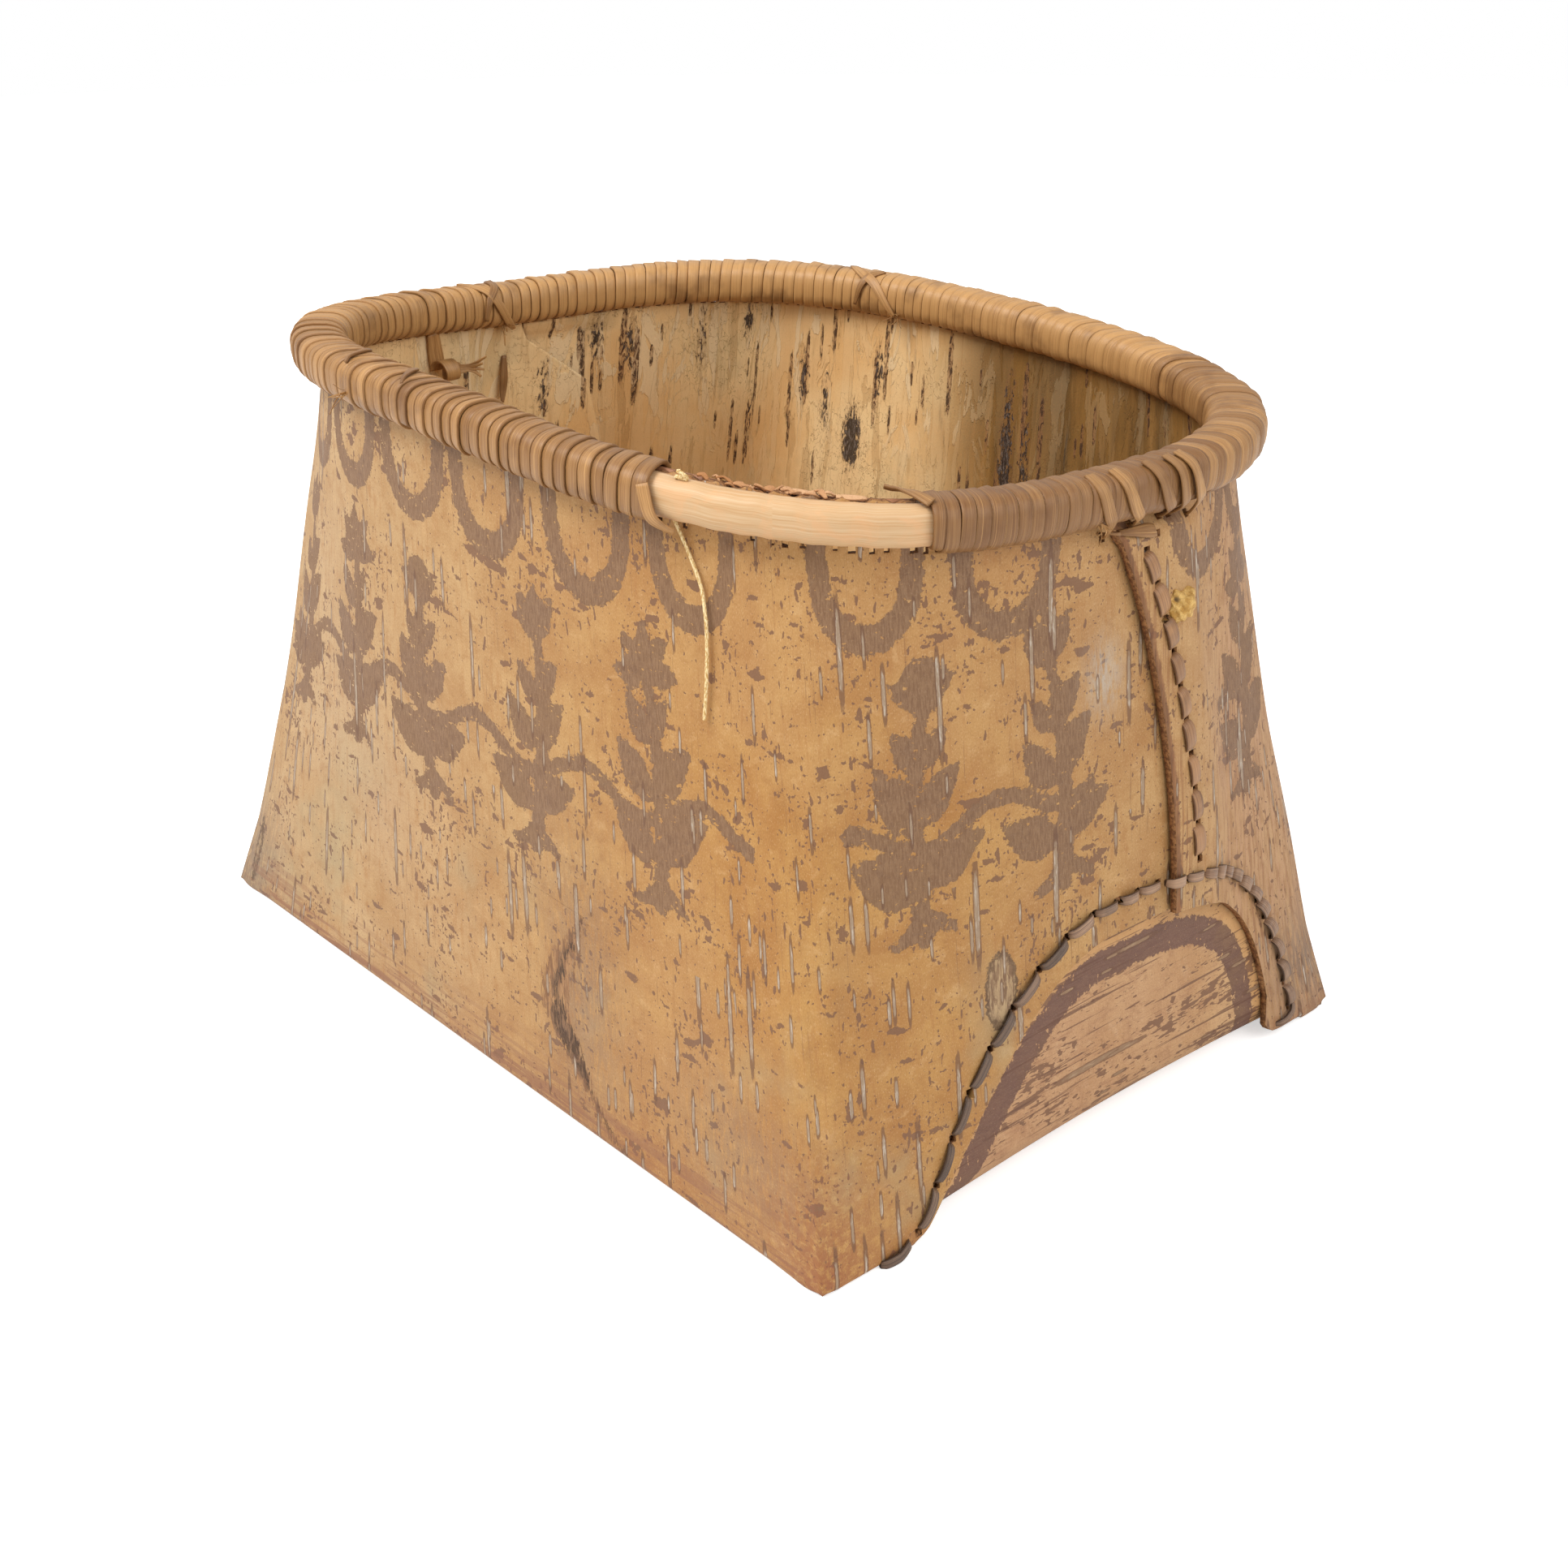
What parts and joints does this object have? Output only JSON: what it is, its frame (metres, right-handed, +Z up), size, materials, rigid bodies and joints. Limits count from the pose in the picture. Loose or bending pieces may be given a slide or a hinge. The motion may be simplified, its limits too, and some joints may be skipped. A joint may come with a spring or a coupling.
{
  "type": "birch bark mocock",
  "caption": "Open birch bark container: rectangular folded floor, walls drawn in to a rounded oblong rim with hoops lashed by split root, arched and stitched ends.",
  "frame": {"origin": "middle of the floor's underside, on the surface that the container stands on", "axes": "+X along the floor towards the end seen in the picture, +Y across it towards the back long wall, +Z up"},
  "size_m": [0.34, 0.2483, 0.223],
  "materials": {
    "birch_bark": "matt winter bark, golden tan where scraped and brown where left",
    "peeled_wood": "smooth straw-coloured bent wood",
    "inner_wood": "red-brown bent wood",
    "split_root": "dull split root",
    "stitching_root": "dull grey-brown split root",
    "dried_pitch": "rough ochre lump",
    "plant_thread": "thin pale twisted fibre"
  },
  "bodies": {
    "root": {"bark_body": "birch_bark", "outer_hoop": "peeled_wood", "inner_hoop": "inner_wood", "rim_root_1": "split_root", "rim_root_2": "split_root", "rim_root_3": "split_root", "rim_root_4": "split_root", "rim_root_5": "split_root", "rim_root_6": "split_root", "rim_root_7": "split_root", "rim_root_8": "split_root", "arch_stitching_right": "stitching_root", "arch_stitching_left": "stitching_root", "seam_stitching_right": "split_root", "seam_stitching_left": "split_root", "seam_tie_right": "stitching_root", "seam_tie_left": "stitching_root", "pitch_plug": "dried_pitch", "root_curl": "split_root", "loose_thread": "plant_thread"}
  },
  "joints": []
}
